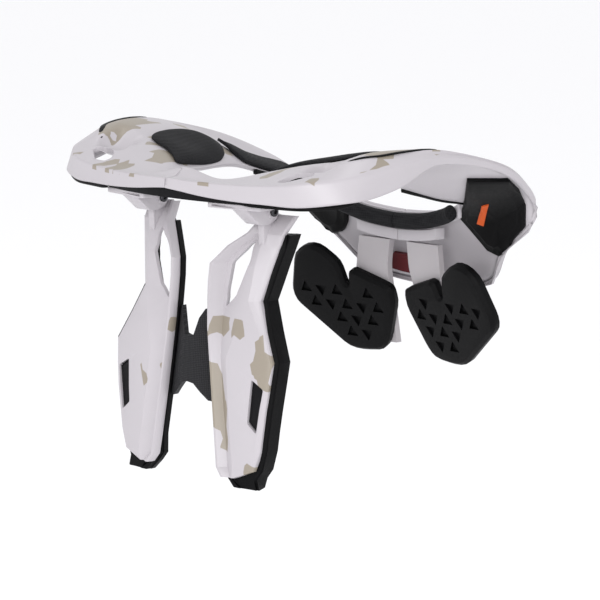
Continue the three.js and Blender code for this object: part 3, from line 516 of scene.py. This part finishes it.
def seen_at(tree, x, y):
    """The place and the camera-facing normal that a pixel of the picture meets on a surface."""
    frame_width = SENSOR_WIDTH / VIEW_LENS
    sight = Vector(
        ((x / PICTURE_SIDE - 0.5) * frame_width, (0.5 - y / PICTURE_SIDE) * frame_width, -1)
    )
    direction = (camera.rotation_euler.to_matrix() @ sight).normalized()
    place, normal, _, _ = tree.ray_cast(camera.location, direction)
    return place, normal if normal.dot(direction) < 0 else -normal


def rounded(piece, width):
    """Rounds the sharp edges of a piece by a width in millimetres."""
    rounding = piece.modifiers.new("rounding", "BEVEL")
    rounding.width = width * MM
    rounding.segments = ROUND_STEPS
    rounding.limit_method = "ANGLE"


wing_tree = BVHTree.FromObject(
    bpy.data.objects["collar_wing_right"], bpy.context.evaluated_depsgraph_get()
)
outline = []
for start, end in zip(LINING_OUTLINE, LINING_OUTLINE[1:] + LINING_OUTLINE[:1]):
    for step in range(LINING_EDGE_STEPS):
        outline.append(Vector(start).lerp(Vector(end), step / LINING_EDGE_STEPS))
centre = sum(outline, Vector((0, 0))) / len(outline)
lining_rings = []
for share, lift in LINING_PROFILE:
    ring = []
    for corner in outline[: 1 if share == 0 else None]:
        place, normal = seen_at(wing_tree, *centre.lerp(corner, share))
        ring.append(place + normal * lift * MM)
    lining_rings.append(ring)
for side in SIDES:
    sign = 1 if side == "right" else -1
    mesh = bmesh.new()
    rings = [[mesh.verts.new((sign * v.x, v.y, v.z)) for v in ring] for ring in lining_rings]
    joined(mesh, rings)
    for face in mesh.faces:
        face.smooth = True
    lining = built("wing_lining_" + side, mesh)
    rounded(lining, LINING_ROUNDING)
    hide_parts("wing_panel_" + side)
    finished(lining, foam_skin, "brace")

tab_cloth = Finish("orange_tab", colour=(0.62, 0.1, 0.02), roughness=0.6, Specular_IOR_Level=0.2)
tab_cloth.feed("Base Color", mottle(tab_cloth, spread=0.15, scale=400))
lining_tree = BVHTree.FromObject(
    bpy.data.objects["wing_lining_right"], bpy.context.evaluated_depsgraph_get()
)
mesh = bmesh.new()
first, second, third, fourth = (Vector(corner) for corner in TAB_CORNERS)
grid = []
for row in range(TAB_STEPS + 1):
    line = []
    for column in range(TAB_STEPS + 1):
        top = first.lerp(second, column / TAB_STEPS)
        bottom = fourth.lerp(third, column / TAB_STEPS)
        place, normal = seen_at(lining_tree, *top.lerp(bottom, row / TAB_STEPS))
        line.append(mesh.verts.new(place + normal * TAB_THICK * MM))
    grid.append(line)
for upper, lower in zip(grid, grid[1:]):
    for column in range(TAB_STEPS):
        mesh.faces.new((upper[column], lower[column], lower[column + 1], upper[column + 1]))
tab = built("orange_tab", mesh)
thickness = tab.modifiers.new("thickness", "SOLIDIFY")
thickness.thickness = TAB_THICK * 2 * MM
thickness.offset = 0
finished(tab, tab_cloth, "brace")

# The foam behind each strut cover shows as a dark band round its outer edge and its foot. It keeps clear of
# the cover's window.
BAND_PROUD = 2.4
FOOT_TOP = -192
FOOT_MIDDLE = 49
FOOT_SPREAD = 1.75
FOAM_FACING = 0.3
FOAM_ROUNDING = 0.8
WINDOW_FOOT = -95
WINDOW_OUTER = 53
WINDOW_REAR = -180
WINDOW_ROOM = ((52, -31), (52, -50), (42, -74), (28, -87), (18.5, -77), (18.5, -62), (24, -45), (34, -32))

for side in SIDES:
    sign = 1 if side == "right" else -1
    foam = softened("strut_foam_skin_" + side, "strut_foam_" + side, levels=0, merge="nothing")
    corners = [(sign * x, WINDOW_REAR, z) for x, z in WINDOW_ROOM]
    carve(foam, prism("window_cutter", corners, (0, -WINDOW_REAR, 0)))
    mesh = bmesh.new()
    mesh.from_mesh(foam.data)
    mesh.normal_update()
    for vert in mesh.verts:
        beside_window = vert.co.z > WINDOW_FOOT * MM and vert.co.x * sign < WINDOW_OUTER * MM
        if vert.normal.x * sign > FOAM_FACING and not beside_window:
            vert.co.x += sign * BAND_PROUD * MM
    for vert in mesh.verts:
        if vert.co.z < FOOT_TOP * MM:
            middle = sign * FOOT_MIDDLE * MM
            vert.co.x = middle + (vert.co.x - middle) * FOOT_SPREAD
    mesh.to_mesh(foam.data)
    mesh.free()
    rounded(foam, FOAM_ROUNDING)
    finished(foam, foam_skin, "struts")

# The chest pads: moulded foam plates with a lattice of triangular recesses. The lattice is set out on the
# face that rests on the chest, and keeps clear of the pad's edge, which probes round each recess look for.
RECESS_SIZE = 5.6
RECESS_DEPTH = 2.2
RECESS_PITCH = 13.5
RECESS_CLEAR = 9
RECESS_ROW = 0.8
RECESS_ROWS = range(-4, 2)
RECESS_COLUMNS = range(-4, 5)
PROBES = ((0, 0), (1, 0), (-1, 0), (0, 1), (0, -1), (0.7, -0.7), (-0.7, -0.7))
PROBE_START = 5
PROBE_REACH = 5.3
mounts = {mount["name"]: mount for mount in frame["record"]["mounts"]}


def recess(mesh, centre, axes, flip):
    """Adds a three-sided prism that stands through a pad's face."""
    across, upward, outward = axes
    rings = []
    for height in (-RECESS_DEPTH, RECESS_DEPTH):
        ring = []
        for corner in range(3):
            turn = math.radians(90 + 120 * corner) + (math.pi if flip else 0)
            reach = across * math.cos(turn) + upward * math.sin(turn)
            ring.append(mesh.verts.new(centre + reach * RECESS_SIZE * MM + outward * height * MM))
        rings.append(ring)
    mesh.faces.new(rings[0][::-1])
    mesh.faces.new(rings[1])
    for corner in range(3):
        following = (corner + 1) % 3
        mesh.faces.new((rings[0][corner], rings[0][following], rings[1][following], rings[1][corner]))


for side in SIDES:
    pad = softened(
        "chest_pad_skin_" + side, "chest_pad_" + side, sharp=30, levels=0, bevel=0.7, merge="flats"
    )
    mount = mounts["chest_face_" + side]
    outward = Vector(mount["axis"]).normalized()
    upward = (Vector((0, 0, 1)) - outward * outward.z).normalized()
    across = upward.cross(outward)
    tree = BVHTree.FromObject(pad, bpy.context.evaluated_depsgraph_get())
    cutter_mesh = bmesh.new()
    for row in RECESS_ROWS:
        for column in RECESS_COLUMNS:
            along = (column + (row % 2) / 2) * RECESS_PITCH * MM
            rise = row * RECESS_PITCH * RECESS_ROW * MM
            centre = Vector(mount["pos_m"]) + across * along + upward * rise
            above = centre + outward * PROBE_START * MM
            if all(
                tree.ray_cast(
                    above + (across * right + upward * up) * RECESS_CLEAR * MM, -outward, PROBE_REACH * MM
                )[0]
                for right, up in PROBES
            ):
                recess(cutter_mesh, centre, (across, upward, outward), (row + column) % 2 == 1)
    cutter_mesh.normal_update()
    carve(pad, built("recess_cutter", cutter_mesh))
    finished(pad, foam_skin, "brace")

# The plain white mouldings: collar bands, arm mounts, slider plates and hinge brackets, with rounded edges.
for side in SIDES:
    for part in ("collar_band", "arm_mount", "slider_plate", "strut_bracket"):
        moulding = softened(
            f"{part}_moulding_{side}", f"{part}_{side}", sharp=40, levels=0, bevel=0.5, merge="flats"
        )
        finished(moulding, white_plastic, "brace")

# The strut covers: white plastic with a raised ridge, a window and a slot, and shards of print.
printed_cover = printed_finish(
    "printed_cover_plastic", stretch=(1.5, 0.2, 0.9), turn=(0, 0.5, 0), share=0.86, masked=False
)
for side in SIDES:
    cover = softened(
        "strut_cover_moulding_" + side, "strut_cover_" + side, sharp=22, levels=0, bevel=0.45, merge="flats"
    )
    finished(cover, printed_cover, "struts")

# The flat arms of the chest pads: thin flexible plastic, pale and matt.
arm_plastic = Finish("arm_plastic", colour=(0.41, 0.385, 0.4), roughness=0.45)
arm_plastic.feed("Base Color", mottle(arm_plastic, spread=0.05))
arm_plastic.bump(arm_plastic.noise(scale=1800, detail=3), strength=0.15, depth=0.0004)
for side in SIDES:
    arm = softened("pad_arm_moulding_" + side, "pad_arm_" + side, sharp=50, levels=1)
    finished(arm, arm_plastic, "brace")

# The chassis bar, the woven bridge and the latch keep their solids and get their finishes.
THREADS = 2600
chassis_plastic = Finish(
    "chassis_plastic", colour=(0.005, 0.005, 0.006), roughness=0.42, Specular_IOR_Level=0.12
)
chassis_plastic.feed("Base Color", mottle(chassis_plastic, spread=0.3))
chassis_plastic.bump(chassis_plastic.noise(scale=2000, detail=3), strength=0.2, depth=0.0004)
weave_plate = Finish("woven_plate", colour=(0.04, 0.04, 0.043), roughness=0.5, Specular_IOR_Level=0.15)
across = weave_plate.node("ShaderNodeSeparateXYZ", {}, {"Vector": weave_plate.place}, "X")
upward = weave_plate.node("ShaderNodeSeparateXYZ", {}, {"Vector": weave_plate.place}, "Z")
threads = [
    weave_plate.node("ShaderNodeMath", {"operation": "SINE"}, {0: direction * THREADS})
    for direction in (across + upward, across - upward)
]
woven = threads[0] * threads[1] * 0.5 + 0.5
weave_plate.feed("Base Color", weave_plate.mix(woven, (0.005, 0.005, 0.006, 1), (0.028, 0.028, 0.031, 1)))
weave_plate.bump(woven, strength=0.6, depth=0.0006)
latch_plastic = Finish("latch_plastic", colour=(0.13, 0.01, 0.014), roughness=0.35)
latch_plastic.feed("Base Color", mottle(latch_plastic, spread=0.2))
for node, finish in (
    ("rear_carrier", chassis_plastic),
    ("strut_bridge", weave_plate),
    ("front_latch", latch_plastic),
):
    nodes[node].data.materials.clear()
    nodes[node].data.materials.append(finish.material)

# The slot inserts lie deep in the covers' slots, so that the slots' walls show.
INSERT_SINK = 1.7
for side in SIDES:
    insert = softened(
        "slot_grille_" + side, "slot_insert_" + side, sharp=40, levels=0, bevel=0.2, merge="flats"
    )
    for vert in insert.data.vertices:
        vert.co.y += INSERT_SINK * MM
    finished(insert, chassis_plastic, "struts")

# The hinge screws: one lathed body each, with a chamfered head and a six-sided socket at both ends.
LATHE_STEPS = 24
SCREW_SHANK = 1.8
SCREW_CHAMFER = 0.4
SOCKET_SIDE = math.pi / 3
SOCKET_RADIUS = 1.7
SOCKET_DEPTH = 1.1
HEAD_THICK = 1.6

black_steel = Finish("black_steel", colour=(0.06, 0.06, 0.065), roughness=0.34, Metallic=0.9)
black_steel.feed("Base Color", mottle(black_steel, spread=0.2, scale=300))
for side in SIDES:
    low, high = (Vector(corner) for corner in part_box("pivot_screw_" + side))
    middle = (low + high) / 2
    reach = (high.x - low.x) / 2 / MM
    radius = (high.z - low.z) / 2 / MM
    half = (
        (reach - SOCKET_DEPTH, SOCKET_RADIUS, True),
        (reach, SOCKET_RADIUS, True),
        (reach, radius - SCREW_CHAMFER, False),
        (reach - SCREW_CHAMFER, radius, False),
        (reach - HEAD_THICK, radius, False),
        (reach - HEAD_THICK, SCREW_SHANK, False),
    )
    profile = [*half, *((-x, r, socket) for x, r, socket in reversed(half))]
    mesh = bmesh.new()
    rings = []
    for x, r, socket in profile:
        ring = []
        for step in range(LATHE_STEPS):
            turn = 2 * math.pi * step / LATHE_STEPS
            from_middle = turn % SOCKET_SIDE - SOCKET_SIDE / 2
            span = r * math.cos(SOCKET_SIDE / 2) / math.cos(from_middle) if socket else r
            offset = Vector((x, span * math.cos(turn), span * math.sin(turn))) * MM
            ring.append(mesh.verts.new(middle + offset))
        rings.append(ring)
    joined(mesh, rings)
    screw = built("hinge_screw_" + side, mesh)
    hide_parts("pivot_screw_" + side)
    finished(screw, black_steel, "brace")

# The floor is plain and pale.
floor_finish = Finish("floor_paint", colour=(0.97, 0.97, 0.975), roughness=0.9)
floor.data.materials.append(floor_finish.material)
